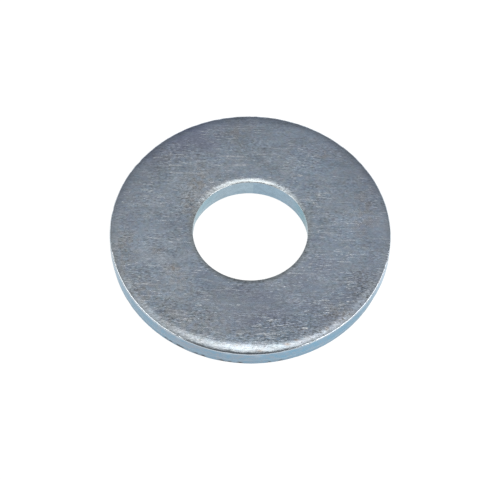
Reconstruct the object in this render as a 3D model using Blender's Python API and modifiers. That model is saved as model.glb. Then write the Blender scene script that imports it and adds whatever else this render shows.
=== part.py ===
"""Plain flat washer, blanked and pierced from steel strip and zinc plated.

Metres, +Z up. The washer lies on the plane z = 0, centred on the origin, with its axis on Z.
The face that met the die first is on top: its outer rim and the rim of its hole are drawn down
by the press. Below the rolled rims the cut is burnished and straight, and further down it broke
away at a slight taper, so the bottom face is a little narrower and its hole a little wider.
"""

import math

import bpy

INCH = 0.0254
MILLIMETRE = 0.001

# Driving sizes: the nominal size of a wide-series washer for a half-inch bolt
OUTER_DIAMETER = 1.375 * INCH
HOLE_DIAMETER = 0.562 * INCH
THICKNESS = 0.109 * INCH

# Rims drawn down by the press on the top face: how far in they start and how far they drop
OUTER_ROLL_WIDTH = 1.30 * MILLIMETRE
OUTER_ROLL_DROP = 0.204 * MILLIMETRE
OUTER_CORNER_RADIUS = 0.30 * MILLIMETRE
HOLE_ROLL_WIDTH = 0.75 * MILLIMETRE
HOLE_ROLL_DROP = 0.13 * MILLIMETRE
HOLE_CORNER_RADIUS = 0.14 * MILLIMETRE

# Cut walls: the straight burnished band ends at this height, and below it the break tapers
BURNISH_END = 0.38 * THICKNESS
OUTER_BREAK_TAPER = 0.19 * MILLIMETRE
HOLE_BREAK_TAPER = 0.22 * MILLIMETRE
BOTTOM_EDGE_RADIUS = 0.08 * MILLIMETRE

# Fineness of the turned shape
STEPS_AROUND = 96
ROLL_POINTS = 5
CORNER_POINTS = 4
EDGE_POINTS = 2
MERGE_DISTANCE = 0.000001
SMOOTH_ANGLE = math.radians(30.0)

PLATING_COLOUR = (0.52, 0.57, 0.62, 1.0)
PLATING_ROUGHNESS = 0.38
PLATING_METALLIC = 1.0


def clear_scene():
    for item in list(bpy.data.objects):
        bpy.data.objects.remove(item, do_unlink=True)


def make_collection(name):
    collection = bpy.data.collections.new(name)
    bpy.context.scene.collection.children.link(collection)
    return collection


def zinc_plated_steel():
    material = bpy.data.materials.new("zinc_plated_steel")
    material.use_nodes = True
    shader = material.node_tree.nodes["Principled BSDF"]
    shader.inputs["Base Color"].default_value = PLATING_COLOUR
    shader.inputs["Roughness"].default_value = PLATING_ROUGHNESS
    shader.inputs["Metallic"].default_value = PLATING_METALLIC
    return material


def rolled_rim(wall_radius, outward, width, drop, corner_radius):
    """Points (radius, height) from the flat top face over the rolled rim to the top of the wall.

    outward is 1 for the outer rim and -1 for the rim of the hole. The rim falls as a parabola,
    and a tight corner carries it on into the wall.
    """
    end_slope = math.atan2(2.0 * drop, width)
    centre_radius = wall_radius - outward * corner_radius
    centre_height = THICKNESS - drop - corner_radius * math.cos(end_slope)
    fall_end = centre_radius + outward * corner_radius * math.sin(end_slope)
    points = []
    for step in range(ROLL_POINTS):
        share = step / ROLL_POINTS
        radius = fall_end - outward * width * (1.0 - share)
        points.append((radius, THICKNESS - drop * share**2))
    for step in range(CORNER_POINTS + 1):
        angle = end_slope + (math.pi / 2.0 - end_slope) * step / CORNER_POINTS
        radius = centre_radius + outward * corner_radius * math.sin(angle)
        points.append((radius, centre_height + corner_radius * math.cos(angle)))
    return points


def broken_wall(wall_radius, outward, taper):
    """Points from the end of the burnished band down the tapered break to the flat bottom face."""
    foot_radius = wall_radius - outward * taper
    centre_radius = foot_radius - outward * BOTTOM_EDGE_RADIUS
    points = [(wall_radius, BURNISH_END)]
    for step in range(EDGE_POINTS + 1):
        angle = math.pi / 2.0 * (1.0 + step / EDGE_POINTS)
        radius = centre_radius + outward * BOTTOM_EDGE_RADIUS * math.sin(angle)
        points.append((radius, BOTTOM_EDGE_RADIUS * (1.0 + math.cos(angle))))
    return points


def washer_profile():
    """The closed section: over the top face, down the outer wall, back under and up the hole."""
    outer_radius = OUTER_DIAMETER / 2.0
    hole_radius = HOLE_DIAMETER / 2.0
    outer_side = rolled_rim(
        outer_radius, 1.0, OUTER_ROLL_WIDTH, OUTER_ROLL_DROP, OUTER_CORNER_RADIUS
    )
    outer_side += broken_wall(outer_radius, 1.0, OUTER_BREAK_TAPER)
    hole_side = rolled_rim(
        hole_radius, -1.0, HOLE_ROLL_WIDTH, HOLE_ROLL_DROP, HOLE_CORNER_RADIUS
    )
    hole_side += broken_wall(hole_radius, -1.0, HOLE_BREAK_TAPER)
    return outer_side + hole_side[::-1]


def turned_ring(name, profile, collection):
    """A closed ring: the section stands at +X as a loop of edges and is turned about Z."""
    corners = [(radius, 0.0, height) for radius, height in profile]
    edges = [(index, (index + 1) % len(corners)) for index in range(len(corners))]
    mesh = bpy.data.meshes.new(name)
    mesh.from_pydata(corners, edges, [])
    ring = bpy.data.objects.new(name, mesh)
    collection.objects.link(ring)
    turn = ring.modifiers.new("Turn", "SCREW")
    turn.axis = "Z"
    turn.angle = 2.0 * math.pi
    turn.steps = STEPS_AROUND
    turn.render_steps = STEPS_AROUND
    turn.use_merge_vertices = True
    turn.merge_threshold = MERGE_DISTANCE
    return ring


def apply_modifiers(item):
    """Replaces the object's mesh with its modified one, so that it can be shaded by its angles."""
    depsgraph = bpy.context.evaluated_depsgraph_get()
    finished = bpy.data.meshes.new_from_object(item.evaluated_get(depsgraph))
    finished.name = item.name
    item.modifiers.clear()
    item.data = finished


def flat_washer(collection):
    washer = turned_ring("flat_washer", washer_profile(), collection)
    apply_modifiers(washer)
    washer.data.shade_smooth()
    washer.data.set_sharp_from_angle(angle=SMOOTH_ANGLE)
    washer.data.materials.append(zinc_plated_steel())
    return washer


def main():
    clear_scene()
    flat_washer(make_collection("flat_washer"))


main()
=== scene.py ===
"""The looks of a flat washer: stamped steel with satin blue-grey zinc plating, on a white light table.

The washer is one piece. Its fine surface is a closed ring built from a section that changes a
little with the angle: rolled rims, burnished and broken bands of the cut, chips and nicks.
All of it lies inside the CAD model's box. Angles go around +Z from +X, as seen from above.
"""

import math

import bpy
import numpy as np
from mathutils import Euler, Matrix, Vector, noise


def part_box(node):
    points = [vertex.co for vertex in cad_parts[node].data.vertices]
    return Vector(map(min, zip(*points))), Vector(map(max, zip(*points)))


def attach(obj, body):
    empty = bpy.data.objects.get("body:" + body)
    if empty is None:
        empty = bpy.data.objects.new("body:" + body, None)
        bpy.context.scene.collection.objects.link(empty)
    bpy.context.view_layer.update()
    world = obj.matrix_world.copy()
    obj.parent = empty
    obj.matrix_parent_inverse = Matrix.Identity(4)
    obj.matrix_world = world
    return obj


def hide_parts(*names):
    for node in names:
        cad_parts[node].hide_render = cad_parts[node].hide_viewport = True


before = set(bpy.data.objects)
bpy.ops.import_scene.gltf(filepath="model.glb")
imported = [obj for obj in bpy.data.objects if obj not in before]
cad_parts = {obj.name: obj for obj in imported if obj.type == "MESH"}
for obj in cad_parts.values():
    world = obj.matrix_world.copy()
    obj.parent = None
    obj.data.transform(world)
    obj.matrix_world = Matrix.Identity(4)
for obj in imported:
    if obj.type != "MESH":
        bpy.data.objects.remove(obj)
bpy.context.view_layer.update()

MILLIMETRE = 0.001
MICROMETRE = 0.000001

# Sizes read from the frame
CAD_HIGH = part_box("flat_washer")[1]
OUTER_RADIUS = CAD_HIGH.x
THICKNESS = CAD_HIGH.z
HOLE_RADIUS = min(math.hypot(v.co.x, v.co.y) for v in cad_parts["flat_washer"].data.vertices)

# Rows of the section, and steps around the ring
STEPS_AROUND = 700
ANGLES = np.arange(STEPS_AROUND) * 2.0 * math.pi / STEPS_AROUND
ROWS = {"roll": 18, "corner": 7, "burnish": 9, "break": 11, "edge": 3, "top": 33, "bottom": 12}

# How far on each side a value given at some angles is eased into the next one, in steps
EASE_REACH = STEPS_AROUND // 40

# Rolled rims of the top face: how steep they end, and how far they and their corners vary
OUTER_ROLL_END = math.radians(17.1)
HOLE_ROLL_END = math.radians(19.1)
ROLL_VARIATION = 0.05
CORNER_VARIATION = 0.25

# Widths of the rolls, wider where the strip was drawn down more: angle in degrees, millimetres
OUTER_ROLL_WIDTHS = {
    0.0: 1.20,
    60.0: 1.45,
    100.0: 1.60,
    140.0: 1.45,
    180.0: 1.20,
    208.0: 1.08,
    225.0: 1.25,
    240.0: 1.14,
    252.0: 1.40,
    266.0: 1.56,
    280.0: 1.36,
    290.0: 1.10,
    302.0: 1.10,
    312.0: 1.25,
    322.0: 1.35,
    335.0: 1.15,
}
HOLE_ROLL_WIDTHS = {
    0.0: 0.72,
    40.0: 0.80,
    62.0: 0.88,
    90.0: 0.78,
    125.0: 0.95,
    150.0: 0.95,
    180.0: 0.75,
}

# Radius of the tight corner between each roll and its cut wall: angle in degrees, millimetres
OUTER_CORNERS = {
    0.0: 0.18,
    30.0: 0.31,
    50.0: 0.36,
    100.0: 0.30,
    150.0: 0.26,
    200.0: 0.25,
    228.0: 0.25,
    240.0: 0.26,
    256.0: 0.30,
    270.0: 0.36,
    285.0: 0.29,
    305.0: 0.20,
    345.0: 0.16,
}
HOLE_CORNERS = {
    0.0: 0.08,
    25.0: 0.08,
    50.0: 0.10,
    75.0: 0.11,
    118.0: 0.11,
    138.0: 0.07,
    165.0: 0.06,
    270.0: 0.10,
}

# Cut walls: where the burnished band ends above the bottom face, and how the break curves and tapers
# below it. Punch and die were a little out of line, so each break tapers most at one angle, in degrees.
BREAK_TOP = 0.38 * THICKNESS
BREAK_RAGGED = 0.16 * MILLIMETRE
BREAK_CURVE = 0.8
OUTER_TAPER = 0.19 * MILLIMETRE
OUTER_TAPER_SWING = 0.13 * MILLIMETRE
OUTER_TAPER_MOST = 57.0
HOLE_TAPER = 0.22 * MILLIMETRE
HOLE_TAPER_SWING = 0.215 * MILLIMETRE
HOLE_TAPER_MOST = 253.0
BOTTOM_EDGE = 0.08 * MILLIMETRE

# How fast the torn look sets in below the burnished band, how much smoother the hole's is, and
# how worn the bottom edge is
TORN_ONSET = 3.0
HOLE_SMOOTHER = 0.6
EDGE_WEAR = 0.5

# The hole's wall is a little paler for half a turn on from this angle, a painted reflection, which
# leaves a faint upright step in tone
HOLE_PALER_FROM = 88.0

# Marks of the top face stay above this height
TOP_FACE_FROM = 0.7 * THICKNESS

# Noise in the shape: size and seed; how far apart two seeds lie; and the shares of finer noise
WAVES = {
    "drop": (9.0 * MILLIMETRE, 1),
    "width": (6.0 * MILLIMETRE, 2),
    "break": (2.6 * MILLIMETRE, 3),
    "break_detail": (0.8 * MILLIMETRE, 4),
    "face": (7.0 * MILLIMETRE, 5),
    "peel": (0.9 * MILLIMETRE, 6),
    "roll_grain": (0.5 * MILLIMETRE, 7),
    "die_lines": (0.35 * MILLIMETRE, 8),
    "torn": (0.42 * MILLIMETRE, 9),
    "torn_detail": (0.2 * MILLIMETRE, 10),
    "corner": (0.9 * MILLIMETRE, 14),
}
SEED_SHIFT = Vector((17.3, 5.1, 9.7))
BREAK_DETAIL = 0.5
TORN_DETAIL = 0.35

# Depths of the real relief
FACE_WAVE = 5.0 * MICROMETRE
FACE_PEEL = 1.5 * MICROMETRE
ROLL_GRAIN = 6.0 * MICROMETRE
DIE_LINES = 3.0 * MICROMETRE
TORN_GRAIN = 34.0 * MICROMETRE

# Small chips low on the outer wall and nicks high on it, scattered at random: how many, how deep,
# and the least and most of their size, height, strength and stretch along the wall
CHIP_COUNT = 26
CHIP_SEED = 11
CHIP_DEPTH = 0.10 * MILLIMETRE
CHIP_SIZES = (0.10 * MILLIMETRE, 0.24 * MILLIMETRE)
CHIP_HEIGHTS = (0.0, 0.25 * MILLIMETRE)
NICK_COUNT = 16
NICK_SEED = 12
NICK_DEPTH = 0.05 * MILLIMETRE
NICK_SIZES = (0.12 * MILLIMETRE, 0.30 * MILLIMETRE)
NICK_HEIGHTS = (THICKNESS - 0.75 * MILLIMETRE, THICKNESS - 0.35 * MILLIMETRE)
SPOT_STRENGTHS = (0.4, 1.0)
SPOT_STRETCH = (1.0, 2.2)

# Larger chips along the outer wall's foot: angle in degrees, height and size in millimetres; and
# how much longer than high they are
CHIPS = (
    (235.4, 0.36, 0.15),
    (237.6, 0.20, 0.18),
    (241.3, 0.24, 0.26),
    (243.2, 0.14, 0.20),
    (249.2, 0.24, 0.17),
    (252.2, 0.18, 0.22),
    (259.8, 0.16, 0.24),
    (263.2, 0.14, 0.17),
    (267.3, 0.14, 0.22),
    (279.0, 0.14, 0.16),
)
CHIP_STRETCH = 1.5

# Painted shade: the face darker towards its outer rim, by angle: angle in degrees, share; and where it
# starts and ends
RIM_SHADE = {
    0.0: 0.30,
    30.0: 0.30,
    60.0: 0.10,
    90.0: 0.05,
    120.0: 0.85,
    150.0: 0.20,
    180.0: 0.05,
    205.0: 0.0,
    280.0: 0.0,
    300.0: 0.45,
    330.0: 0.55,
}
RIM_SHADE_FROM = 12.8 * MILLIMETRE
RIM_SHADE_TO = 15.6 * MILLIMETRE

# Painted light and shade on each cut wall, brighter and darker by the angle around the ring: angle in
# degrees, share
OUTER_WALL_PAINTED_LIGHT = {
    0.0: 1.15,
    30.0: 1.00,
    150.0: 0.90,
    185.0: 0.75,
    198.0: 0.80,
    212.0: 0.66,
    238.0: 0.98,
    300.0: 1.00,
    318.0: 0.76,
    330.0: 0.78,
    341.0: 1.35,
    352.0: 1.30,
}
HOLE_WALL_PAINTED_LIGHT = {
    20.0: 0.52,
    30.0: 0.70,
    40.0: 0.86,
    60.0: 0.98,
    110.0: 0.98,
    125.0: 0.90,
    140.0: 0.92,
    152.0: 0.86,
    165.0: 0.84,
    270.0: 1.00,
    340.0: 0.70,
}

# How far the outer roll turns blue around the ring, most at its back, a painted reflection hue: angle
# in degrees, share
ROLL_REFLECTED_BLUE = {
    0.0: 0.3,
    20.0: 0.7,
    60.0: 0.8,
    90.0: 1.3,
    120.0: 1.2,
    150.0: 0.8,
    170.0: 0.3,
    185.0: 0.0,
    345.0: 0.0,
}

# How far the hole wall turns teal around the ring, a painted reflection hue: angle in degrees, share
HOLE_WALL_REFLECTED_TEAL = {
    0.0: 0.5,
    14.0: 1.2,
    22.0: 1.4,
    30.0: 0.9,
    42.0: 0.1,
    120.0: 0.0,
    135.0: 0.25,
    150.0: 0.45,
    162.0: 0.55,
    185.0: 0.1,
    340.0: 0.0,
}

# How far the outer wall goes from its plating's grey to its blue around the ring, a painted reflection
# hue: angle in degrees, share, where more than 1 goes past the blue
WALL_REFLECTED_BLUE = {
    90.0: 0.2,
    180.0: 0.4,
    192.0: 0.8,
    208.0: 1.7,
    222.0: 1.0,
    238.0: 0.2,
    255.0: 0.0,
    272.0: 0.3,
    290.0: 0.7,
    306.0: 0.9,
    318.0: 1.6,
    332.0: 1.0,
    345.0: 0.4,
}

# Marks on the top face, by kind: x and y of the middle, reach along X and Y in millimetres, and
# strength. Rubbed places are gritty with fine scratches, smeared ones are smoother, and cool ones
# have less warm metal.
MARKS = {
    "brown": (
        (-6.6, 6.8, 1.5, 2.2, 0.80),
        (-7.6, 3.4, 1.0, 2.0, 0.75),
        (-9.3, -5.8, 0.8, 0.6, 0.95),
        (-11.4, -3.4, 0.7, 0.5, 0.85),
        (-8.6, -7.2, 2.0, 1.5, 0.40),
        (-2.0, 14.4, 1.6, 1.2, 0.50),
        (-10.8, 11.0, 2.2, 1.6, 0.30),
        (8.9, 11.6, 0.7, 0.6, 0.90),
        (7.9, 4.6, 0.8, 1.1, 0.40),
        (11.0, -11.2, 1.6, 1.3, 0.50),
        (-15.4, -3.5, 1.3, 3.6, 0.60),
        (-12.6, -9.4, 2.0, 2.2, 0.55),
        (-6.0, -13.2, 3.6, 1.4, 0.45),
        (2.6, -14.2, 3.2, 1.1, 0.40),
        (-1.2, -14.6, 2.6, 0.9, 0.40),
        (-9.5, -12.6, 1.6, 1.3, 0.50),
        (14.2, 3.0, 1.4, 5.0, 0.45),
        (13.4, -8.0, 1.5, 2.2, 0.30),
    ),
    "rust": (
        (4.8, -16.0, 0.36, 0.16, 0.75),
        (5.9, -15.4, 0.30, 0.14, 0.65),
        (1.5, -16.95, 0.36, 0.13, 0.7),
        (-1.3, -16.4, 0.26, 0.12, 0.5),
        (9.6, -13.7, 0.22, 0.30, 0.6),
        (-9.3, -5.8, 0.45, 0.30, 0.35),
        (-11.4, -3.4, 0.40, 0.25, 0.30),
    ),
    "dark": (
        (-7.0, 12.9, 3.0, 1.9, 1.50),
        (-12.0, 10.8, 2.0, 2.2, 0.60),
        (-9.0, 11.0, 1.6, 1.3, 0.45),
        (8.4, 12.4, 2.8, 1.7, 0.50),
        (14.6, 6.4, 1.2, 3.0, 0.40),
        (-16.2, 4.2, 0.8, 2.6, 0.40),
        (0.6, 15.8, 5.0, 0.9, 0.35),
        (-0.6, -8.6, 3.6, 1.1, 0.80),
        (-5.6, -6.4, 1.6, 1.6, 0.50),
        (0.8, -10.4, 2.0, 0.9, 0.45),
        (6.6, -7.0, 2.4, 1.6, 0.75),
        (7.9, -1.2, 0.9, 0.3, 0.90),
        (-9.8, 0.6, 1.2, 1.0, 0.30),
        (2.6, -12.8, 4.4, 2.4, 1.25),
        (3.4, -14.9, 2.5, 0.9, 1.40),
        (7.6, -11.2, 5.0, 2.6, 0.62),
        (9.0, -5.0, 2.4, 1.6, 0.80),
        (-15.2, 0.8, 1.2, 1.6, 0.45),
        (14.0, 0.8, 1.4, 1.2, 0.60),
        (12.8, -7.6, 1.6, 1.8, 0.45),
        (1.6, -9.6, 3.6, 1.3, 0.95),
        (-8.8, -12.0, 3.2, 1.4, 0.30),
        (-13.0, -9.2, 1.3, 1.3, 0.50),
    ),
    "teal": (
        (3.4, -14.7, 2.7, 1.5, 1.50),
        (6.6, -13.0, 2.4, 1.3, 0.50),
        (12.4, -8.4, 1.8, 2.2, 0.35),
        (0.4, -15.0, 3.6, 0.8, 0.35),
    ),
    "pale": (
        (-12.4, -0.6, 2.3, 0.9, 0.45),
        (-11.2, -4.0, 2.6, 1.8, 1.15),
        (-8.8, -5.0, 1.9, 1.6, 0.72),
        (-7.0, 6.4, 2.8, 2.6, 0.90),
        (-10.6, 2.2, 1.8, 1.2, 0.45),
        (-5.2, -9.6, 3.0, 1.4, 0.50),
        (10.0, 3.8, 2.0, 1.6, 0.40),
        (10.0, -2.6, 2.0, 1.0, 0.30),
        (1.6, 11.6, 1.8, 2.0, 0.45),
        (-6.4, 9.6, 2.6, 0.8, 0.30),
    ),
    "rubbed": (
        (-2.0, -14.9, 6.5, 1.0, 0.60),
        (3.4, -13.2, 2.8, 1.8, 1.00),
        (-8.0, -13.0, 3.0, 1.2, 0.60),
        (-9.6, -10.6, 2.6, 1.6, 1.10),
        (-13.2, -9.0, 1.6, 2.4, 0.60),
        (-15.6, -3.0, 1.0, 3.0, 0.45),
        (-13.0, 2.4, 1.4, 2.6, 0.40),
        (-8.8, -3.0, 1.2, 1.0, 0.60),
        (10.6, -11.8, 2.4, 1.6, 1.25),
        (13.8, -8.0, 1.8, 3.0, 0.80),
        (-8.0, 5.0, 1.5, 2.6, 0.90),
        (-5.0, 7.4, 1.6, 1.0, 0.50),
        (7.6, 3.6, 0.9, 2.2, 0.50),
        (-10.6, 8.6, 3.2, 2.2, 0.60),
        (-1.0, 12.0, 2.2, 1.8, 0.50),
        (3.6, 9.2, 3.0, 0.9, 0.60),
        (6.8, -13.6, 3.4, 1.6, 1.30),
        (2.4, -15.2, 4.6, 0.9, 1.40),
    ),
    "smeared": (
        (-1.2, -10.6, 4.4, 1.7, 1.00),
        (-10.6, 0.0, 1.8, 1.0, 0.80),
        (-4.4, -7.6, 2.0, 1.2, 0.50),
        (-7.0, 13.6, 3.0, 1.4, 0.60),
        (7.4, -8.2, 2.8, 1.4, 0.80),
        (4.6, 14.2, 3.6, 1.6, 0.90),
        (12.6, 9.6, 2.4, 3.0, 0.50),
        (13.0, 0.6, 1.8, 2.4, 0.40),
    ),
    "cool": (
        (-4.4, 10.4, 3.6, 1.8, 0.80),
        (7.0, 8.8, 2.6, 1.6, 0.70),
        (8.4, -4.2, 1.6, 1.2, 0.50),
        (-14.6, -0.6, 1.2, 1.2, 0.60),
    ),
}

# Colours of the plating and its marks, and tints of painted reflections. A tint is multiplied into what
# lies under it.
WHITE = (1.0, 1.0, 1.0, 1.0)
COOL_ZINC = (0.464, 0.558, 0.672, 1.0)
WARM_ZINC = (0.516, 0.560, 0.614, 1.0)
ROLL_ZINC = (0.530, 0.576, 0.590, 1.0)
GREENER = (0.988, 1.012, 0.988, 1.0)
PURPLER = (1.012, 0.988, 1.012, 1.0)
RUBBED_TINT = (0.990, 1.004, 0.990, 1.0)
TEAL_TINT = (0.74, 0.85, 0.91, 1.0)
# tint of the painted blue reflection on the back of the outer roll
ROLL_REFLECTION_TINT = (1.05, 1.09, 1.20, 1.0)
MARK_BROWN = (0.40, 0.345, 0.285, 1.0)
MARK_DARK = (0.335, 0.365, 0.455, 1.0)
MARK_OLIVE = (0.36, 0.37, 0.35, 1.0)
MARK_PALE = (0.66, 0.72, 0.79, 1.0)
MARK_RUST = (0.38, 0.30, 0.235, 1.0)
SCRATCH_BRIGHT = (0.80, 0.84, 0.88, 1.0)
FLECK_DARK = (0.17, 0.15, 0.14, 1.0)
CUT_BLUE = (0.190, 0.366, 0.512, 1.0)
CUT_GREY = (0.236, 0.327, 0.417, 1.0)
HOLE_BLUE = (0.275, 0.378, 0.468, 1.0)
# paler half of the hole wall, a painted reflection
HOLE_PALE = (0.320, 0.423, 0.500, 1.0)
# tint of the painted teal reflection on the hole wall
HOLE_REFLECTED_TEAL_TINT = (0.50, 1.05, 1.10, 1.0)
TORN_GREY = (0.225, 0.335, 0.430, 1.0)
CHIP_DARK = (0.085, 0.078, 0.076, 1.0)

# Grain of the plating, coarse to fine: size along X and along Y in millimetres, and how far it
# lightens and darkens the metal
GRAIN = {
    "patch": (7.0, 5.0, 0.27),
    "cloud": (1.9, 1.1, 0.16),
    "drawn": (3.4, 0.17, 0.16),
    "grain": (0.60, 0.24, 0.24),
    "fine": (0.33, 0.115, 0.63),
}

# The layers that are crisp in some places and faint in others, how far the noise of each layer is
# shifted from the last, and how far grit lightens and darkens rubbed places
CRISP_LAYERS = ("grain", "fine")
GRAIN_SHIFT = 3.0
GRIT_TONE = 1.3

# Streaks along the strip's rolling direction: turn in degrees, length and width in millimetres,
# the noise level above which they show, how bright they are and how deep in micrometres
STREAKS = (
    (1.5, 6.5, 0.16, 0.64, 0.38, 2.0),
    (-4.0, 2.6, 0.15, 0.66, 0.55, 3.0),
    (6.0, 1.5, 0.14, 0.67, 0.70, 4.0),
    (0.0, 0.7, 0.15, 0.69, 0.90, 5.0),
    (14.0, 0.9, 0.14, 0.70, 0.90, 5.0),
    (-5.0, 3.6, 0.14, 0.70, 1.00, 4.0),
    (2.5, 5.0, 0.14, 0.71, 1.00, 4.0),
)

# How far streaks reach in height in millimetres, how softly they start to show, and how far the
# noise of the first is shifted and of each one after it
STREAK_HEIGHT = 0.8
STREAK_EDGE = 0.07
STREAK_SHIFT = 13.0
STREAK_SHIFT_STEP = 4.0

# Single scratches on the top face: x and y of the middle, turn in degrees, length in millimetres
# and strength; and the width and reach in height of each in millimetres, and its depth
SCRATCHES = (
    (-9.7, 9.3, 1.0, 2.6, 0.94),
    (-2.6, 10.9, 1.5, 4.0, 0.81),
    (-8.3, 8.2, 1.0, 6.6, 0.57),
    (-4.2, 9.5, 1.0, 1.3, 0.68),
    (-1.5, 9.6, 1.0, 2.3, 0.88),
    (1.1, 11.3, 4.0, 1.7, 0.68),
    (-13.2, 6.3, 1.0, 2.2, 0.54),
    (-13.3, 5.5, 0.0, 1.7, 0.68),
    (-12.7, 5.3, 26.0, 1.0, 0.81),
    (-13.3, 4.6, 0.0, 1.5, 0.54),
    (-9.6, 5.6, -8.0, 1.0, 0.81),
    (-12.2, 10.4, 0.0, 0.8, 0.74),
    (6.1, 8.3, 2.0, 0.9, 1.00),
    (8.5, 5.4, -6.0, 0.8, 0.94),
    (4.7, 13.1, 3.0, 1.0, 0.68),
    (-7.4, -9.4, 8.0, 1.1, 0.81),
    (-6.0, -11.0, 2.0, 1.1, 0.88),
    (-1.2, -10.8, 4.0, 0.6, 0.81),
    (9.4, -9.8, -3.0, 1.3, 1.00),
    (12.1, -9.9, -8.0, 0.5, 1.00),
    (6.9, -13.8, 0.0, 1.0, 1.00),
    (2.2, -14.7, -1.0, 2.4, 0.74),
)
SCRATCH_WIDTH = 0.28
SCRATCH_HEIGHT = 2.0
SCRATCH_DEPTH = 6.0 * MICROMETRE

# Other patterns of the plating: size along X, Y and Z in millimetres, shift, detail and roughness
PATTERNS = {
    "groups": ((4.0, 2.0, 3.0), 11.0, 2.0, 0.5),
    "speck": ((0.34, 0.20, 0.25), 21.0, 1.0, 0.5),
    "warm": ((6.0, 4.5, 5.0), 25.0, 5.0, 0.6),
    "speckle": ((0.62, 0.60, 0.6), 33.0, 1.0, 0.5),
    "tint": ((0.75, 0.60, 0.6), 37.0, 2.0, 0.5),
    "busy": ((4.5, 2.6, 3.0), 41.0, 2.0, 0.5),
    "patches": ((0.7, 0.7, 0.6), 45.0, 3.0, 0.6),
    "grit": ((0.40, 0.28, 0.3), 49.0, 2.0, 0.6),
}

# Where a pattern starts and stops turning from one value into another, and those two values
RANGES = {
    "groups": (0.36, 0.60, 0.35, 1.0),
    "scratch": (0.60, 1.0, 1.0, 0.0),
    "broken": (0.30, 0.55, 0.60, 1.0),
    "busy": (0.34, 0.66, 0.55, 1.35),
    "fleck": (0.0, 0.06, 0.0, 1.0),
    "warmth": (0.32, 0.68, 0.0, 1.0),
    "tint": (0.30, 0.70, 0.0, 1.0),
    "brown": (0.36, 0.60, 0.2, 1.0),
    "dark": (0.30, 0.60, 0.4, 1.0),
    "pale": (0.35, 0.65, 0.25, 1.0),
    "teal": (0.36, 0.58, 1.2, 0.6),
    "dirt": (0.34, 0.50, 1.0, 0.0),
    "patches": (0.30, 0.70, -1.0, 1.0),
    "ragged": (0.35, 0.60, 0.0, 1.0),
}

# Sums of shares: "plain" counts by itself, and each other share times the value of its name
CRISPNESS = {"plain": 0.93, "rubbed": 0.5, "smeared": -0.55, "roll": -0.4, "hole_roll": 1.1}
STREAK_LIFT = {"plain": 0.0, "rubbed": 0.02, "smeared": -0.05}
FLECK_LEVEL = {"plain": 0.70, "rubbed": -0.08}
WARMTH = {"plain": 0.0, "warm": 0.45, "speckle": 0.55, "cool": -0.12}
WARM_ROLL = {"plain": 0.0, "roll": 0.6, "hole_roll": 0.4}
WALL_BLUE = {"plain": 0.0, "blue": 1.0, "patches": 0.6}
WALL_PAINTED_LIGHT_AND_MOTTLE = {"plain": 0.0, "tone": 1.0, "patches": -0.08}
ROUGHNESS = {
    "plain": 0.11,
    "flat": 0.05,
    "warm": 0.06,
    "grain": 0.08,
    "brown": 0.12,
    "cut": 0.08,
    "torn": 0.16,
}

# The same for the depth of each layer's relief, in micrometres
RELIEF = {
    "cloud": {"plain": 3.0, "roll": 33.0},
    "grain": {"plain": 2.0, "roll": 7.0},
    "fine": {"plain": 1.4, "roll": 3.2, "rubbed": 1.0, "hole_roll": 4.4},
}
GRIT_DEPTH = 4.0 * MICROMETRE
FLECK_DEPTH = 3.0 * MICROMETRE

# How much of a mark's colour covers the plating where the mark is full
COVER = {"pale": 0.8, "dark": 0.8, "brown": 0.6, "dirt": 0.35, "fleck": 0.7, "torn": 0.8, "worn": 0.35}

# Camera: where it looks from in degrees, and how far the washer lies from the middle of the view
CAMERA_ELEVATION = 58.33
CAMERA_ROLL = 1.58
CAMERA_DISTANCE = 16.05 * OUTER_RADIUS
CAMERA_LENS = 161.3
CAMERA_OFFSET = (0.0, 0.0123 * OUTER_RADIUS)
CAMERA_NEAREST = 0.005

# The room around it: how bright low down and high up, and its darker side. Each edge is where
# one brightness starts and stops turning into the other.
ROOM_COLOUR = (0.93, 0.96, 1.0, 1.0)
ROOM_LOW = 0.183
ROOM_HIGH = 0.436
ROOM_CLIMB_EDGE = (0.33, 0.86)
ROOM_DARK_TOWARDS = (0.0, -0.8, 0.6)
ROOM_DARK_EDGE = (0.60, 0.85)
ROOM_DARK_SHARE = 0.45

# The table: flat out to a radius, then rising as an arc in steps of so many degrees
TABLE_FLAT_RADIUS = 0.9
TABLE_RISE = 0.14
TABLE_RISE_STEPS = 12
TABLE_RISE_STEP = 6.0
TABLE_STEPS_AROUND = 96
TABLE_MERGE_DISTANCE = 0.0001
TABLE_COLOUR = (0.17, 0.16, 0.15, 1.0)
TABLE_ROUGHNESS = 0.6
TABLE_GLOW = 0.93

# Lights, aimed at the washer from one distance: azimuth and elevation in degrees, size, radiance
# and colour. One size is the diameter of a round light, and two are the sides of a rectangle.
LIGHT_DISTANCE = 0.60
LIGHTS = {
    "overhead": (75.0, 83.0, (0.235,), 0.90, (1.0, 0.95, 0.89)),
    "overhead_glow": (81.0, 82.0, (0.56, 0.19), 0.46, (1.0, 0.99, 0.97)),
    "overhead_side": (42.0, 69.0, (0.14,), 0.35, (1.0, 0.99, 0.97)),
    "left": (191.0, 37.0, (0.64, 0.22), 3.0, (1.0, 0.96, 0.92)),
    "right": (345.0, 38.0, (0.76, 0.26), 4.0, (1.0, 0.95, 0.90)),
}


def field(points, size, seed):
    """Smooth noise from about -1 to 1 at each point, with features about size across."""
    shift = SEED_SHIFT * seed
    return np.array([noise.noise(Vector(point) / size + shift) for point in points])


def around(size, seed):
    """Noise by the angle alone, which closes on itself."""
    ring = [(OUTER_RADIUS * math.cos(a), OUTER_RADIUS * math.sin(a), 0.0) for a in ANGLES]
    return field(ring, size, seed)


def raised(values):
    """Noise from about -1 to 1, moved to about 0 to 1."""
    return 0.5 + 0.5 * values


def by_angle(values):
    """One value for each step around, eased between the values given at some angles in degrees."""
    angles = np.radians(list(values))
    level = np.interp(ANGLES, angles, list(values.values()), period=2.0 * math.pi)
    window = np.hanning(2 * EASE_REACH + 1)
    wrapped = np.concatenate((level[-EASE_REACH:], level, level[:EASE_REACH]))
    return np.convolve(wrapped, window / window.sum(), mode="valid")


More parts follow.
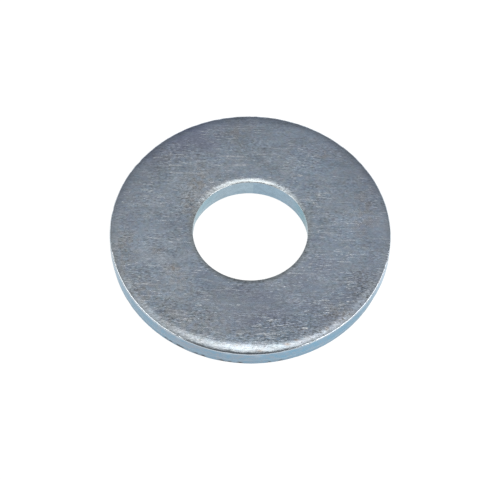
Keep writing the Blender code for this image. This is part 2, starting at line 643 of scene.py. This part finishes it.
class Section:
    """The ring's section, row by row, with one value for each step around in every row."""

    def __init__(self):
        self.radius = []
        self.height = []
        self.weights = {name: [] for name in ("roll", "worn", "cut", "torn", "face", "hole")}

    def row(self, radius, height, **weights):
        """Adds one row. A weight that isn't given is 0."""
        self.radius.append(np.broadcast_to(radius, ANGLES.shape).astype(float))
        self.height.append(np.broadcast_to(height, ANGLES.shape).astype(float))
        for name, values in self.weights.items():
            value = weights.get(name, 0.0)
            values.append(np.broadcast_to(value, ANGLES.shape).astype(float))


def roll_rows(wall, outward, width, drop, corner):
    """Rows from the flat top face over the rolled rim and its corner to the cut wall.

    Each is its radius, its height and its weights. outward is 1 for the outer rim and -1 for the
    rim of the hole.
    """
    slope = np.arctan2(2.0 * drop, width)
    middle = wall - outward * corner
    middle_height = THICKNESS - drop - corner * np.cos(slope)
    fall_end = middle + outward * corner * np.sin(slope)
    rows = []
    for step in range(ROWS["roll"]):
        share = step / ROWS["roll"]
        radius = fall_end - outward * width * (1.0 - share)
        rows.append((radius, THICKNESS - drop * share**2, {"roll": share, "face": 1.0 - share}))
    for step in range(ROWS["corner"] + 1):
        share = step / ROWS["corner"]
        angle = slope + (math.pi / 2.0 - slope) * share
        radius = middle + outward * corner * np.sin(angle)
        height = middle_height + corner * np.cos(angle)
        weights = {"roll": 1.0 - share, "worn": math.sin(math.pi * share), "cut": share}
        rows.append((radius, height, weights))
    return rows


def wall_rows(wall, outward, wall_top, taper, break_top):
    """Rows from the top of a cut wall down its burnished band and its break to the bottom face."""
    rows = []
    for step in range(1, ROWS["burnish"] + 1):
        height = wall_top + (break_top - wall_top) * step / ROWS["burnish"]
        rows.append((wall, height, {"cut": 1.0}))
    foot = wall - outward * taper
    for step in range(1, ROWS["break"] + 1):
        share = step / ROWS["break"]
        radius = wall + (foot - wall) * share**BREAK_CURVE
        height = break_top + (BOTTOM_EDGE - break_top) * share
        rows.append((radius, height, {"cut": 1.0, "torn": min(1.0, TORN_ONSET * share)}))
    for step in range(1, ROWS["edge"] + 1):
        share = step / ROWS["edge"]
        angle = math.pi / 2.0 * (1.0 + share)
        radius = foot - outward * BOTTOM_EDGE * (1.0 - math.sin(angle))
        height = BOTTOM_EDGE * (1.0 + math.cos(angle))
        weights = {"cut": 1.0 - share, "torn": 1.0 - share, "worn": EDGE_WEAR * share}
        rows.append((radius, height, weights))
    return rows


def side_rows(wall, outward, width, drop, corner, taper, break_top):
    """Rows from the flat top face over one rim and down its wall to the bottom face."""
    rows = roll_rows(wall, outward, width, drop, corner)
    rows += wall_rows(wall, outward, rows[-1][1], taper, break_top)
    hole = 0.0 if outward > 0.0 else 1.0
    return [(radius, height, weights | {"hole": hole}) for radius, height, weights in rows]


def roll_drop(end_angle, width):
    """How far a roll drops over its width: it falls as a parabola, and ends at the given angle."""
    return 0.5 * math.tan(end_angle) * width


def washer_section():
    """The closed section: over the outer rim, down the wall, back under, up the hole, over the top."""
    drop_change = 1.0 + ROLL_VARIATION * around(*WAVES["drop"])
    width_change = 1.0 + ROLL_VARIATION * around(*WAVES["width"])
    corner_change = 1.0 + CORNER_VARIATION * around(*WAVES["corner"])
    ragged = around(*WAVES["break"]) + BREAK_DETAIL * around(*WAVES["break_detail"])
    outer_width = by_angle(OUTER_ROLL_WIDTHS) * MILLIMETRE * width_change
    hole_width = by_angle(HOLE_ROLL_WIDTHS) * MILLIMETRE * width_change
    outer = side_rows(
        OUTER_RADIUS,
        1.0,
        outer_width,
        roll_drop(OUTER_ROLL_END, outer_width) * drop_change,
        by_angle(OUTER_CORNERS) * MILLIMETRE * corner_change,
        OUTER_TAPER + OUTER_TAPER_SWING * np.cos(ANGLES - math.radians(OUTER_TAPER_MOST)),
        BREAK_TOP + BREAK_RAGGED * ragged,
    )
    hole = side_rows(
        HOLE_RADIUS,
        -1.0,
        hole_width,
        roll_drop(HOLE_ROLL_END, hole_width) * drop_change,
        by_angle(HOLE_CORNERS) * MILLIMETRE,
        HOLE_TAPER + HOLE_TAPER_SWING * np.cos(ANGLES - math.radians(HOLE_TAPER_MOST)),
        BREAK_TOP + BREAK_RAGGED * ragged[::-1],
    )
    section = Section()
    for radius, height, weights in outer:
        section.row(radius, height, **weights)
    for step in range(1, ROWS["bottom"]):
        share = step / ROWS["bottom"]
        radius = outer[-1][0] + (hole[-1][0] - outer[-1][0]) * share
        section.row(radius, 0.0, face=1.0)
    for radius, height, weights in reversed(hole):
        section.row(radius, height, **weights)
    for step in range(1, ROWS["top"]):
        share = step / ROWS["top"]
        radius = hole[0][0] + (outer[0][0] - hole[0][0]) * share
        section.row(radius, THICKNESS, face=1.0)
    return section


def spots(angle, height, count, seed, sizes, heights):
    """Soft round marks at random on the outer wall, as a value from 0 to 1 at each point."""
    draw = np.random.default_rng(seed)
    mark = np.zeros_like(angle)
    for _ in range(count):
        at_angle = draw.uniform(0.0, 2.0 * math.pi)
        at_height = draw.uniform(*heights)
        size = draw.uniform(*sizes)
        strength = draw.uniform(*SPOT_STRENGTHS)
        along = (angle - at_angle + math.pi) % (2.0 * math.pi) - math.pi
        along = along * OUTER_RADIUS / (size * draw.uniform(*SPOT_STRETCH))
        up = (height - at_height) / size
        mark = np.maximum(mark, strength * np.exp(-(along**2) - up**2))
    return mark


def placed_chips(angle, height):
    """The larger chips, as a value from 0 to 1 at each point."""
    chip = np.zeros_like(angle)
    for at_angle, at_height, size in CHIPS:
        along = (angle - math.radians(at_angle)) * OUTER_RADIUS / (CHIP_STRETCH * size * MILLIMETRE)
        up = (height - at_height * MILLIMETRE) / (size * MILLIMETRE)
        chip = np.maximum(chip, np.exp(-(along**2) - up**2))
    return chip


def wall_damage(angle, height, weights):
    """The chips and the nicks of the outer wall, as two values at each point."""
    outer = 1.0 - weights["hole"]
    chip = spots(angle, height, CHIP_COUNT, CHIP_SEED, CHIP_SIZES, CHIP_HEIGHTS)
    chip = np.maximum(chip, placed_chips(angle, height))
    chip = chip * outer * np.maximum(weights["torn"], weights["worn"])
    nick = spots(angle, height, NICK_COUNT, NICK_SEED, NICK_SIZES, NICK_HEIGHTS)
    nick = nick * outer * (1.0 - weights["torn"]) * (1.0 - weights["face"])
    return chip, nick


def mark_map(kind, x, y, height):
    """Soft patches of one kind on the top face, as a value from 0 at each point."""
    mark = np.zeros_like(x)
    for at_x, at_y, reach_x, reach_y, strength in MARKS[kind]:
        away_x = (x / MILLIMETRE - at_x) / reach_x
        away_y = (y / MILLIMETRE - at_y) / reach_y
        mark = np.maximum(mark, strength * np.exp(-(away_x**2) - away_y**2))
    return mark * (height > TOP_FACE_FROM)


def rim_shade(x, y, height):
    """The painted shade of the top face towards its outer rim, as a value at each point."""
    share = (np.hypot(x, y) - RIM_SHADE_FROM) / (RIM_SHADE_TO - RIM_SHADE_FROM)
    share = np.clip(share, 0.0, 1.0)
    around_it = np.tile(by_angle(RIM_SHADE), len(x) // STEPS_AROUND)
    return around_it * share**2 * (3.0 - 2.0 * share) * (height > TOP_FACE_FROM)


def outward(radius, height):
    """The direction square to the section and out of the metal, along the radius and upward."""
    along_radius = np.roll(radius, -1, axis=0) - np.roll(radius, 1, axis=0)
    along_height = np.roll(height, -1, axis=0) - np.roll(height, 1, axis=0)
    length = np.hypot(along_radius, along_height)
    return (-along_height / length).ravel(), (along_radius / length).ravel()


def relief_depth(points, rows, weights, chip, nick):
    """How far the real relief cuts into the section at each point."""
    depth = FACE_WAVE * raised(field(points, *WAVES["face"]))
    depth += FACE_PEEL * raised(field(points, *WAVES["peel"]))
    depth += ROLL_GRAIN * weights["roll"] * raised(field(points, *WAVES["roll_grain"]))
    depth += DIE_LINES * weights["cut"] * raised(np.tile(around(*WAVES["die_lines"]), rows))
    torn = raised(field(points, *WAVES["torn"]))
    torn += TORN_DETAIL * raised(field(points, *WAVES["torn_detail"]))
    depth += TORN_GRAIN * weights["torn"] * (1.0 - HOLE_SMOOTHER * weights["hole"]) * torn
    return depth + CHIP_DEPTH * chip + NICK_DEPTH * nick


def ring_faces(rows):
    """The quads between each row and the next, and each step and the next, closed both ways."""
    row = np.arange(rows)[:, None]
    step = np.arange(STEPS_AROUND)[None, :]
    next_row = (row + 1) % rows
    next_step = (step + 1) % STEPS_AROUND
    corners = (
        row * STEPS_AROUND + step,
        next_row * STEPS_AROUND + step,
        next_row * STEPS_AROUND + next_step,
        row * STEPS_AROUND + next_step,
    )
    return np.stack(corners, axis=-1).reshape(-1, 4)


def point_values(x, y, height, angle, rows, weights, chip, nick):
    """The values that the plating reads, by name, each one at every point."""
    hole = weights["hole"]
    hole_painted_light = np.tile(by_angle(HOLE_WALL_PAINTED_LIGHT), rows)
    outer_painted_light = np.tile(by_angle(OUTER_WALL_PAINTED_LIGHT), rows)
    values = {kind: mark_map(kind, x, y, height) for kind in MARKS}
    # the dark marks carry the painted rim shade as well
    values["dark"] = values["dark"] + rim_shade(x, y, height)
    values["roll"] = weights["roll"]
    values["worn"] = np.maximum(weights["worn"], nick)
    values["cut"] = weights["cut"]
    values["torn"] = weights["torn"] * (1.0 - HOLE_SMOOTHER * hole)
    values["chip"] = chip
    values["hole"] = hole
    # painted reflection: the hole wall's paler half
    values["painted_reflection_half"] = hole * (np.sin(angle - math.radians(HOLE_PALER_FROM)) > 0.0)
    # painted light and shade of the walls, by angle
    values["tone"] = np.where(hole > 0.5, hole_painted_light, outer_painted_light)
    # painted reflection hue of the outer wall, by angle
    values["blue"] = (1.0 - hole) * np.tile(by_angle(WALL_REFLECTED_BLUE), rows)
    # painted teal reflection on the hole wall, by angle
    values["hole_reflected_teal"] = hole * np.tile(by_angle(HOLE_WALL_REFLECTED_TEAL), rows)
    # painted blue reflection on the back of the outer roll, by angle
    values["roll_reflected_blue"] = (1.0 - hole) * weights["roll"] * np.tile(by_angle(ROLL_REFLECTED_BLUE), rows)
    return values


def washer_mesh():
    """The ring as one closed mesh, with its bands and marks as values on its points."""
    section = washer_section()
    radius = np.array(section.radius)
    height = np.array(section.height)
    weights = {name: np.array(values).ravel() for name, values in section.weights.items()}
    rows = len(radius)
    out_radius, out_height = outward(radius, height)
    radius = radius.ravel()
    height = height.ravel()
    angle = np.tile(ANGLES, rows)
    x = radius * np.cos(angle)
    y = radius * np.sin(angle)
    chip, nick = wall_damage(angle, height, weights)
    values = point_values(x, y, height, angle, rows, weights, chip, nick)
    depth = relief_depth(np.column_stack((x, y, height)), rows, weights, chip, nick)
    radius = radius - depth * out_radius
    height = height - depth * out_height
    corners = np.column_stack((radius * np.cos(angle), radius * np.sin(angle), height))
    mesh = bpy.data.meshes.new("washer_surface")
    mesh.from_pydata(corners.tolist(), [], ring_faces(rows).tolist())
    mesh.shade_smooth()
    for name, value in values.items():
        attribute = mesh.attributes.new(name, "FLOAT", "POINT")
        attribute.data.foreach_set("value", value.astype(np.float32))
    return mesh


# The values on the mesh's points
POINT_VALUES = (*MARKS, "roll", "worn", "cut", "torn", "chip", "hole", "painted_reflection_half", "tone", "blue")
POINT_VALUES += ("hole_reflected_teal", "roll_reflected_blue")

# Places of the colour sockets on a Mix node, which has one set of names for every kind of value
MIX_FIRST = 6
MIX_SECOND = 7
MIX_RESULT = 2


class Wiring:
    """Short ways to add a material's nodes and join them."""

    def __init__(self, tree):
        self.tree = tree

    def add(self, kind, **settings):
        node = self.tree.nodes.new(kind)
        for name, value in settings.items():
            setattr(node, name, value)
        return node

    def feed(self, socket, value):
        if isinstance(value, bpy.types.NodeSocket):
            self.tree.links.new(value, socket)
        else:
            socket.default_value = value

    def maths(self, operation, first, second):
        node = self.add("ShaderNodeMath", operation=operation)
        self.feed(node.inputs[0], first)
        self.feed(node.inputs[1], second)
        return node.outputs["Value"]

    def times(self, *values):
        product = values[0]
        for value in values[1:]:
            product = self.maths("MULTIPLY", product, value)
        return product

    def plus(self, *values):
        total = values[0]
        for value in values[1:]:
            total = self.maths("ADD", total, value)
        return total

    def sum_of(self, shares, values):
        """The plain share, and every other share times the value of its name."""
        total = shares["plain"]
        for name, share in shares.items():
            if name != "plain":
                total = self.plus(total, self.times(values[name], share))
        return total

    def value_of(self, name):
        """One of the values on the mesh's points."""
        return self.add("ShaderNodeAttribute", attribute_name=name).outputs["Fac"]

    def millimetres(self):
        """The object's own coordinates, in millimetres."""
        place = self.add("ShaderNodeTexCoord").outputs["Object"]
        scale = self.add("ShaderNodeVectorMath", operation="SCALE")
        self.feed(scale.inputs["Vector"], place)
        self.feed(scale.inputs["Scale"], 1.0 / MILLIMETRE)
        return scale.outputs["Vector"]

    def about(self, place, middle, size, turn):
        """Coordinates from the middle, in which the size is 1 each way, turned about Z."""
        mapping = self.add("ShaderNodeMapping", vector_type="TEXTURE")
        self.feed(mapping.inputs["Vector"], place)
        self.feed(mapping.inputs["Location"], middle)
        self.feed(mapping.inputs["Rotation"], (0.0, 0.0, math.radians(turn)))
        self.feed(mapping.inputs["Scale"], size)
        return mapping.outputs["Vector"]

    def noise(self, place, size, turn, shift, detail, roughness=0.5):
        """Noise from 0 to 1 with features of the given size, turned about Z."""
        node = self.add("ShaderNodeTexNoise")
        self.feed(node.inputs["Vector"], self.about(place, (shift, shift, shift), size, turn))
        self.feed(node.inputs["Scale"], 1.0)
        self.feed(node.inputs["Detail"], detail)
        self.feed(node.inputs["Roughness"], roughness)
        return node.outputs["Fac"]

    def pattern(self, place, name):
        """One of the named patterns, from 0 to 1."""
        size, shift, detail, roughness = PATTERNS[name]
        return self.noise(place, size, 0.0, shift, detail, roughness)

    def between(self, value, low, high, to_low=0.0, to_high=1.0):
        """value from low to high, eased and kept within to_low and to_high."""
        node = self.add("ShaderNodeMapRange", interpolation_type="SMOOTHSTEP")
        self.feed(node.inputs["Value"], value)
        self.feed(node.inputs["From Min"], low)
        self.feed(node.inputs["From Max"], high)
        self.feed(node.inputs["To Min"], to_low)
        self.feed(node.inputs["To Max"], to_high)
        return node.outputs["Result"]

    def mix(self, share, first, second, blend="MIX", clamped=True):
        """The first colour with a share of the second, which can be past 0 and 1 if not clamped."""
        node = self.add("ShaderNodeMix", data_type="RGBA", blend_type=blend, clamp_factor=clamped)
        self.feed(node.inputs["Factor"], share)
        self.feed(node.inputs[MIX_FIRST], first)
        self.feed(node.inputs[MIX_SECOND], second)
        return node.outputs[MIX_RESULT]

    def tinted(self, colour, tint):
        """The colour multiplied by the tint."""
        return self.mix(1.0, colour, tint, "MULTIPLY")


def streak_pattern(wiring, place, lift):
    """Thin light scratches along X in loose groups: how far they show, and how deep they are."""
    lines = 0.0
    depths = 0.0
    groups = wiring.between(wiring.pattern(place, "groups"), *RANGES["groups"])
    for index, (turn, length, width, level, strength, depth) in enumerate(STREAKS):
        size = (length, width, STREAK_HEIGHT)
        shift = STREAK_SHIFT + STREAK_SHIFT_STEP * index
        pattern = wiring.plus(wiring.noise(place, size, turn, shift, 1.0), lift)
        line = wiring.times(wiring.between(pattern, level, level + STREAK_EDGE), groups)
        lines = wiring.maths("MAXIMUM", lines, wiring.times(line, strength))
        depths = wiring.maths("MAXIMUM", depths, wiring.times(line, depth * MICROMETRE))
    return lines, depths


def single_scratches(wiring, place):
    """The single scratches, as a value from 0 to 1, tapering towards their ends."""
    marks = 0.0
    for x, y, turn, length, strength in SCRATCHES:
        middle = (x, y, THICKNESS / MILLIMETRE)
        size = (0.5 * length, 0.5 * SCRATCH_WIDTH, 0.5 * SCRATCH_HEIGHT)
        away = wiring.add("ShaderNodeVectorMath", operation="LENGTH")
        wiring.feed(away.inputs[0], wiring.about(place, middle, size, turn))
        line = wiring.between(away.outputs["Value"], *RANGES["scratch"])
        marks = wiring.maths("MAXIMUM", marks, wiring.times(line, strength))
    return marks


def all_scratches(wiring, place, values):
    """Streaks and single scratches on the faces: how far they show, and how deep they are."""
    lines, depths = streak_pattern(wiring, place, wiring.sum_of(STREAK_LIFT, values))
    broken = wiring.between(values["fine"], *RANGES["broken"])
    single = wiring.times(single_scratches(wiring, place), broken)
    lines = wiring.maths("MAXIMUM", lines, single)
    depths = wiring.maths("MAXIMUM", depths, wiring.times(single, SCRATCH_DEPTH))
    return wiring.times(lines, values["on_face"]), wiring.times(depths, values["on_face"])


def flecks(wiring, place, values):
    """Dark pits on the faces, more of them in rubbed places."""
    level = wiring.sum_of(FLECK_LEVEL, values)
    over = wiring.maths("SUBTRACT", wiring.pattern(place, "speck"), level)
    return wiring.times(wiring.between(over, *RANGES["fleck"]), values["on_face"])


def plating_values(wiring, place):
    """Everything that more than one part of the plating reads, by name."""
    values = {name: wiring.value_of(name) for name in POINT_VALUES}
    values["hole_roll"] = wiring.times(values["roll"], values["hole"])
    values["on_face"] = wiring.maths("SUBTRACT", 1.0, values["cut"])
    plain = wiring.maths("SUBTRACT", 1.0, values["roll"])
    values["flat"] = wiring.times(values["on_face"], plain)
    for index, (name, (size_x, size_y, _)) in enumerate(GRAIN.items()):
        size = (size_x, size_y, size_y)
        values[name] = wiring.noise(place, size, 0.0, GRAIN_SHIFT * index, 1.0)
    for name in ("grit", "warm", "speckle"):
        values[name] = wiring.pattern(place, name)
    patches = wiring.between(wiring.pattern(place, "patches"), *RANGES["patches"])
    values["patches"] = patches
    mottle = wiring.between(values["speckle"], *RANGES["brown"])
    values["brown"] = wiring.times(values["brown"], mottle)
    return values


def grain_tone(wiring, place, values):
    """How much the grain lightens and darkens the metal, around 1.

    The fine grain is crisp in some places and faint where it has been smeared smooth.
    """
    busy = wiring.between(wiring.pattern(place, "busy"), *RANGES["busy"])
    busy = wiring.times(busy, wiring.sum_of(CRISPNESS, values))
    tone = 1.0
    for name, (_, _, depth) in GRAIN.items():
        change = wiring.times(wiring.maths("SUBTRACT", values[name], 0.5), 2.0 * depth)
        if name in CRISP_LAYERS:
            change = wiring.times(change, busy)
        tone = wiring.plus(tone, change)
    grit = wiring.maths("SUBTRACT", values["grit"], 0.5)
    return wiring.plus(tone, wiring.times(grit, GRIT_TONE, values["rubbed"]))


def clean_zinc(wiring, place, values):
    """The plating without marks: warm and cool metal in patches and specks, and warmer rolls."""
    warmth = wiring.between(wiring.sum_of(WARMTH, values), *RANGES["warmth"])
    colour = wiring.mix(warmth, COOL_ZINC, WARM_ZINC)
    tint = wiring.between(wiring.pattern(place, "tint"), *RANGES["tint"])
    colour = wiring.tinted(colour, wiring.mix(tint, GREENER, PURPLER))
    colour = wiring.mix(values["rubbed"], colour, RUBBED_TINT, "MULTIPLY")
    return wiring.mix(wiring.sum_of(WARM_ROLL, values), colour, ROLL_ZINC)


def marked_zinc(wiring, colour, values):
    """The plating with its marks of every kind, painted rim shade, and painted blue reflection on the
    roll's back.
    """
    pale = wiring.times(values["pale"], wiring.between(values["cloud"], *RANGES["pale"]))
    # the dark share holds the dark marks and the painted rim shade
    dark = wiring.times(values["dark"], wiring.between(values["cloud"], *RANGES["dark"]))
    teal = wiring.times(values["teal"], wiring.between(values["grit"], *RANGES["teal"]))
    dirt = wiring.between(values["grit"], *RANGES["dirt"])
    dirt = wiring.times(dirt, values["rubbed"], values["on_face"])
    # painted blue reflection on the back of the outer roll
    reflected_blue = wiring.mix(values["roll_reflected_blue"], WHITE, ROLL_REFLECTION_TINT, clamped=False)
    colour = wiring.mix(wiring.times(pale, COVER["pale"]), colour, MARK_PALE)
    colour = wiring.mix(wiring.times(dark, COVER["dark"]), colour, MARK_DARK)
    colour = wiring.mix(teal, colour, TEAL_TINT, "MULTIPLY")
    colour = wiring.tinted(colour, reflected_blue)
    colour = wiring.mix(wiring.times(values["brown"], COVER["brown"]), colour, MARK_BROWN)
    colour = wiring.mix(wiring.times(dirt, COVER["dirt"]), colour, MARK_OLIVE)
    return wiring.mix(values["rust"], colour, MARK_RUST)


def cut_wall(wiring, values):
    """The plating of both cut walls, with painted reflection hues and painted light and shade that
    change around the ring.
    """
    # the outer wall's own grey and blue, mixed by a painted reflection hue and random patches
    blue = wiring.sum_of(WALL_BLUE, values)
    outer_wall = wiring.mix(blue, CUT_GREY, CUT_BLUE, clamped=False)
    # hole wall with its painted paler half
    hole_wall = wiring.mix(values["painted_reflection_half"], HOLE_BLUE, HOLE_PALE)
    # painted teal reflection on the hole wall
    tint = wiring.mix(values["hole_reflected_teal"], WHITE, HOLE_REFLECTED_TEAL_TINT, clamped=False)
    hole_wall = wiring.tinted(hole_wall, tint)
    wall = wiring.mix(values["hole"], outer_wall, hole_wall)
    # painted light and shade of both walls by angle, with their random patches
    return wiring.tinted(wall, wiring.sum_of(WALL_PAINTED_LIGHT_AND_MOTTLE, values))


def plating_colour(wiring, place, values, lines, fleck):
    """The colour of faces, rolls and walls, with what is torn, chipped or worn bright on top."""
    colour = marked_zinc(wiring, clean_zinc(wiring, place, values), values)
    colour = wiring.mix(wiring.times(fleck, COVER["fleck"]), colour, FLECK_DARK)
    colour = wiring.mix(lines, colour, SCRATCH_BRIGHT)
    toned = wiring.tinted(colour, grain_tone(wiring, place, values))
    colour = wiring.mix(values["on_face"], colour, toned)
    colour = wiring.mix(values["cut"], colour, cut_wall(wiring, values))
    ragged = wiring.between(values["grain"], *RANGES["ragged"])
    torn = wiring.times(values["torn"], ragged, COVER["torn"])
    colour = wiring.mix(torn, colour, TORN_GREY)
    colour = wiring.mix(values["chip"], colour, CHIP_DARK)
    return wiring.mix(wiring.times(values["worn"], COVER["worn"]), colour, SCRATCH_BRIGHT)


def plating_relief(wiring, values, depths, fleck):
    """The height of the finest relief: grain, grit on the rolls, scratches and pits."""
    height = 0.0
    for name, shares in RELIEF.items():
        depth = wiring.sum_of(shares, values)
        height = wiring.plus(height, wiring.times(values[name], depth, MICROMETRE))
    grit = wiring.times(values["grit"], values["rubbed"], values["roll"], GRIT_DEPTH)
    return wiring.plus(
        height, grit, wiring.times(depths, -1.0), wiring.times(fleck, -FLECK_DEPTH)
    )


def zinc_plating():
    """Satin zinc: grain from patches to specks, scratches, marks and flecks, and bluer cut walls."""
    material = bpy.data.materials.new("zinc_plating")
    material.use_nodes = True
    wiring = Wiring(material.node_tree)
    place = wiring.millimetres()
    values = plating_values(wiring, place)
    lines, depths = all_scratches(wiring, place, values)
    fleck = flecks(wiring, place, values)
    bump = wiring.add("ShaderNodeBump")
    wiring.feed(bump.inputs["Strength"], 1.0)
    wiring.feed(bump.inputs["Distance"], 1.0)
    wiring.feed(bump.inputs["Height"], plating_relief(wiring, values, depths, fleck))
    shader = material.node_tree.nodes["Principled BSDF"]
    colour = plating_colour(wiring, place, values, lines, fleck)
    wiring.feed(shader.inputs["Base Color"], colour)
    wiring.feed(shader.inputs["Roughness"], wiring.sum_of(ROUGHNESS, values))
    wiring.feed(shader.inputs["Metallic"], 1.0)
    wiring.feed(shader.inputs["Normal"], bump.outputs["Normal"])
    return material


def washer():
    """The plated washer, which stands for the CAD model's only node."""
    piece = bpy.data.objects.new("washer_plated", washer_mesh())
    bpy.context.scene.collection.objects.link(piece)
    piece.data.materials.append(zinc_plating())
    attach(piece, "root")
    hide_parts("flat_washer")


def white_acrylic():
    """White acrylic that glows with the light from below."""
    material = bpy.data.materials.new("white_acrylic")
    material.use_nodes = True
    shader = material.node_tree.nodes["Principled BSDF"]
    shader.inputs["Base Color"].default_value = TABLE_COLOUR
    shader.inputs["Roughness"].default_value = TABLE_ROUGHNESS
    shader.inputs["Emission Color"].default_value = WHITE
    shader.inputs["Emission Strength"].default_value = TABLE_GLOW
    return material


def light_table():
    """A wide white table, lit from below, whose edge rises a little all round."""
    table = bpy.data.objects.new("light_table", bpy.data.meshes.new("light_table"))
    bpy.context.scene.collection.objects.link(table)
    profile = [(0.0, 0.0, 0.0), (TABLE_FLAT_RADIUS, 0.0, 0.0)]
    for step in range(1, TABLE_RISE_STEPS + 1):
        angle = math.radians(TABLE_RISE_STEP * step)
        radius = TABLE_FLAT_RADIUS + TABLE_RISE * math.sin(angle)
        profile.append((radius, 0.0, TABLE_RISE * (1.0 - math.cos(angle))))
    edges = [(index, index + 1) for index in range(len(profile) - 1)]
    table.data.from_pydata(profile, edges, [])
    turn = table.modifiers.new("Turn", "SCREW")
    turn.steps = TABLE_STEPS_AROUND
    turn.render_steps = TABLE_STEPS_AROUND
    turn.merge_threshold = TABLE_MERGE_DISTANCE
    turn.use_merge_vertices = True
    turn.use_normal_flip = True
    table.data.materials.append(white_acrylic())


def softbox(name, azimuth, elevation, size, radiance, colour):
    """One light aimed at the washer."""
    light = bpy.data.lights.new(name, "AREA")
    light.shape = "DISK" if len(size) == 1 else "RECTANGLE"
    light.size = size[0]
    light.size_y = size[-1]
    area = size[0] * size[-1] * (math.pi / 4.0 if len(size) == 1 else 1.0)
    light.energy = radiance * math.pi * area
    light.color = colour
    turn = math.radians(azimuth)
    rise = math.radians(elevation)
    away = Vector((math.cos(rise) * math.cos(turn), math.cos(rise) * math.sin(turn), math.sin(rise)))
    item = bpy.data.objects.new(name, light)
    item.location = away * LIGHT_DISTANCE
    item.rotation_euler = away.to_track_quat("Z", "Y").to_euler()
    bpy.context.scene.collection.objects.link(item)


def soft_room():
    """A grey room, a little darker towards its horizon, with a dark patch on the camera's side."""
    world = bpy.data.worlds.new("soft_room")
    world.use_nodes = True
    wiring = Wiring(world.node_tree)
    direction = wiring.add("ShaderNodeTexCoord").outputs["Generated"]
    axes = wiring.add("ShaderNodeSeparateXYZ")
    wiring.feed(axes.inputs["Vector"], direction)
    climb = wiring.between(axes.outputs["Z"], *ROOM_CLIMB_EDGE, ROOM_LOW, ROOM_HIGH)
    dark_side = wiring.add("ShaderNodeVectorMath", operation="DOT_PRODUCT")
    wiring.feed(dark_side.inputs[0], direction)
    wiring.feed(dark_side.inputs[1], ROOM_DARK_TOWARDS)
    lit = wiring.between(dark_side.outputs["Value"], *ROOM_DARK_EDGE, 1.0, ROOM_DARK_SHARE)
    background = world.node_tree.nodes["Background"]
    wiring.feed(background.inputs["Color"], ROOM_COLOUR)
    wiring.feed(background.inputs["Strength"], wiring.times(climb, lit))
    bpy.context.scene.world = world


def studio():
    """The room, its lights, and colours shown as they are."""
    soft_room()
    for name, settings in LIGHTS.items():
        softbox(name, *settings)
    bpy.context.scene.view_settings.view_transform = "Standard"


def camera():
    """A long lens that looks down at the washer from the front."""
    elevation = math.radians(CAMERA_ELEVATION)
    tilt = Euler((math.pi / 2.0 - elevation, 0.0, 0.0)).to_matrix()
    turned = tilt @ Euler((0.0, 0.0, math.radians(CAMERA_ROLL))).to_matrix()
    back = Vector((0.0, -math.cos(elevation), math.sin(elevation)))
    side = turned.col[0] * CAMERA_OFFSET[0]
    up = turned.col[1] * CAMERA_OFFSET[1]
    item = bpy.data.objects.new("camera", bpy.data.cameras.new("camera"))
    item.location = back * CAMERA_DISTANCE + side + up
    item.rotation_euler = turned.to_euler()
    item.data.lens = CAMERA_LENS
    item.data.clip_start = CAMERA_NEAREST
    bpy.context.scene.collection.objects.link(item)
    bpy.context.scene.camera = item


camera()
washer()
light_table()
studio()
